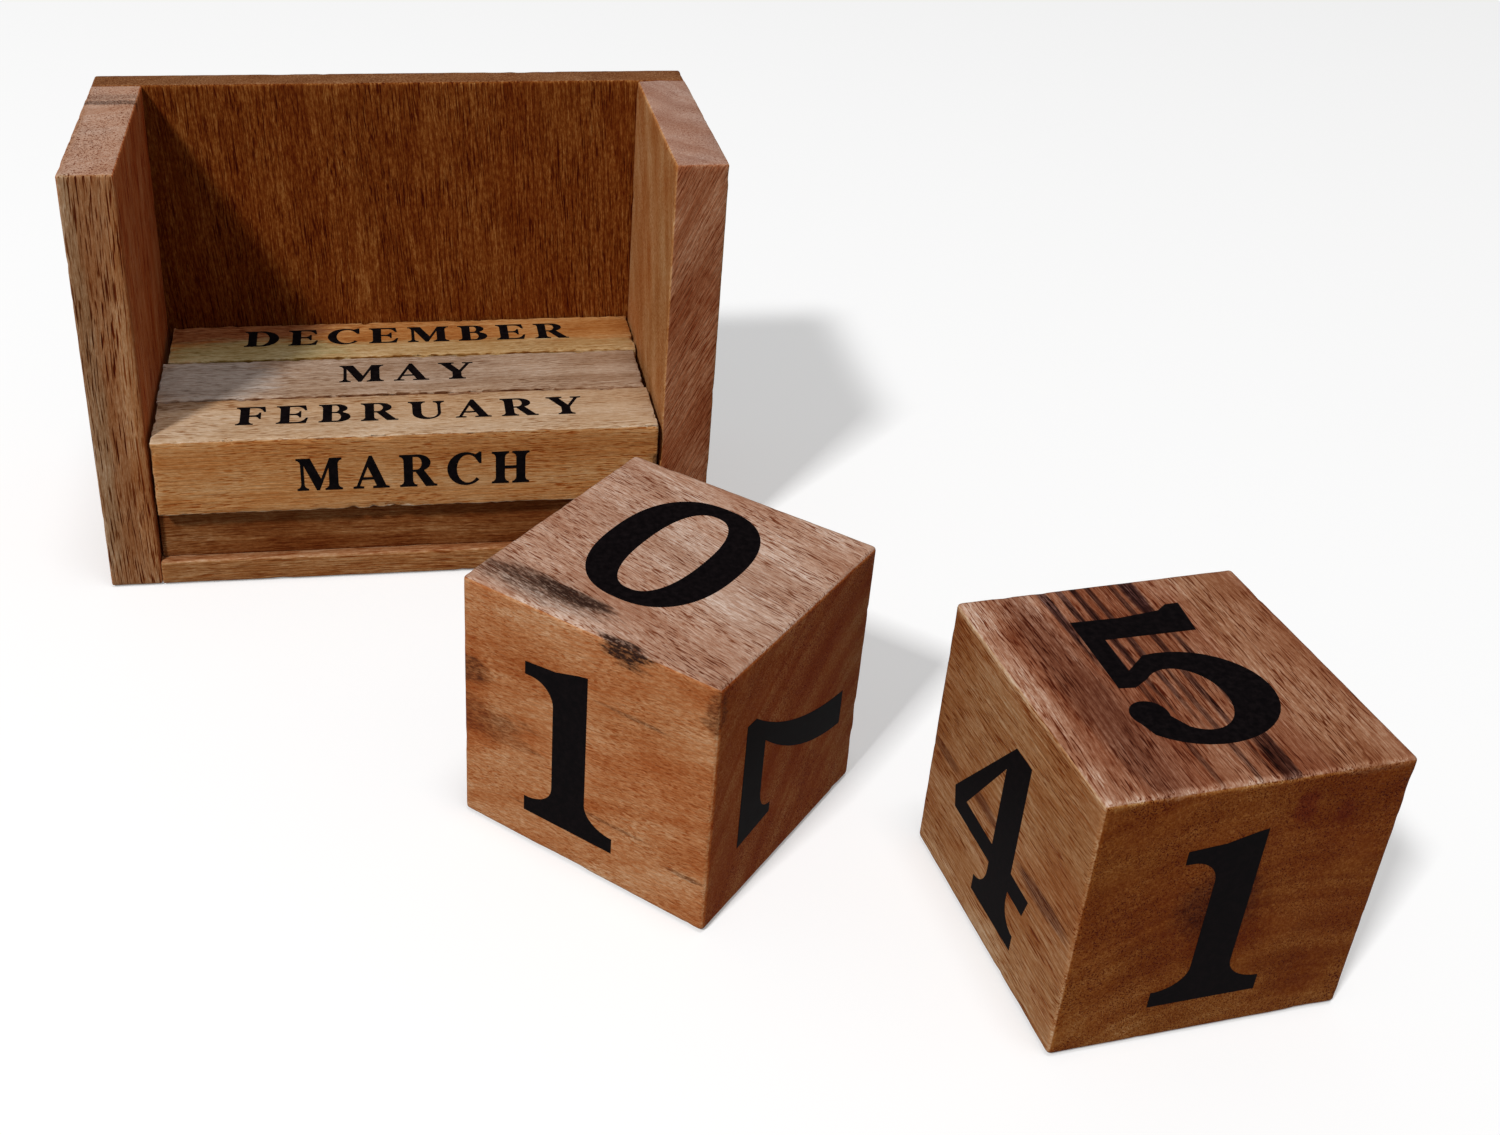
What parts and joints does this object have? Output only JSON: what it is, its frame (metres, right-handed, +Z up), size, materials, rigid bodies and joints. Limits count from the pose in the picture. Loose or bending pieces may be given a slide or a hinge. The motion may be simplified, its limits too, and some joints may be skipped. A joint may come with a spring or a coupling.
{
  "type": "block perpetual calendar",
  "caption": "Wooden block calendar: an open-fronted holder, square month bars that lift out of it, and loose number cubes that turn to set the date.",
  "frame": {"origin": "under the middle of the holder, on the table", "axes": "+X to the right, +Y to the holder's back board, +Z up"},
  "size_m": [0.2039, 0.1983, 0.091],
  "materials": {
    "base_wood": "sanded, no varnish",
    "riser_wood": "sanded, no varnish",
    "back_wood": "sanded, no varnish",
    "left_wood": "sanded, no varnish",
    "right_wood": "sanded, no varnish",
    "front_bar_wood": "sanded, no varnish",
    "middle_bar_wood": "sanded, no varnish",
    "rear_bar_wood": "sanded, no varnish",
    "left_cube_wood": "sanded, no varnish",
    "right_cube_wood": "sanded, no varnish",
    "brad_steel": "bright wire"
  },
  "bodies": {
    "holder": {"base_board": "base_wood", "riser_board": "riser_wood", "back_board": "back_wood", "left_side": "left_wood", "right_side": "right_wood", "base_brads": "brad_steel", "left_side_brads": "brad_steel", "right_side_brads": "brad_steel", "back_brads": "brad_steel"},
    "front_bar": {"month_bar_front": "front_bar_wood"},
    "middle_bar": {"month_bar_middle": "middle_bar_wood"},
    "rear_bar": {"month_bar_rear": "rear_bar_wood"},
    "left_cube": {"date_cube_left": "left_cube_wood"},
    "right_cube": {"date_cube_right": "right_cube_wood"}
  },
  "joints": [
    {"name": "front_bar_lift", "type": "slide", "parent": "holder", "child": "front_bar", "axis": [0, 0, 1], "range_m": [0, 0.08]},
    {"name": "middle_bar_lift", "type": "slide", "parent": "holder", "child": "middle_bar", "axis": [0, 0, 1], "range_m": [0, 0.08]},
    {"name": "rear_bar_lift", "type": "slide", "parent": "holder", "child": "rear_bar", "axis": [0, 0, 1], "range_m": [0, 0.08]},
    {"name": "left_cube_turn", "type": "hinge", "parent": "holder", "child": "left_cube", "pos_m": [0.042, -0.10346, 0], "axis": [0, 0, 1], "continuous": true},
    {"name": "right_cube_turn", "type": "hinge", "parent": "holder", "child": "right_cube", "pos_m": [0.11324, -0.14117, 0], "axis": [0, 0, 1], "continuous": true}
  ]
}
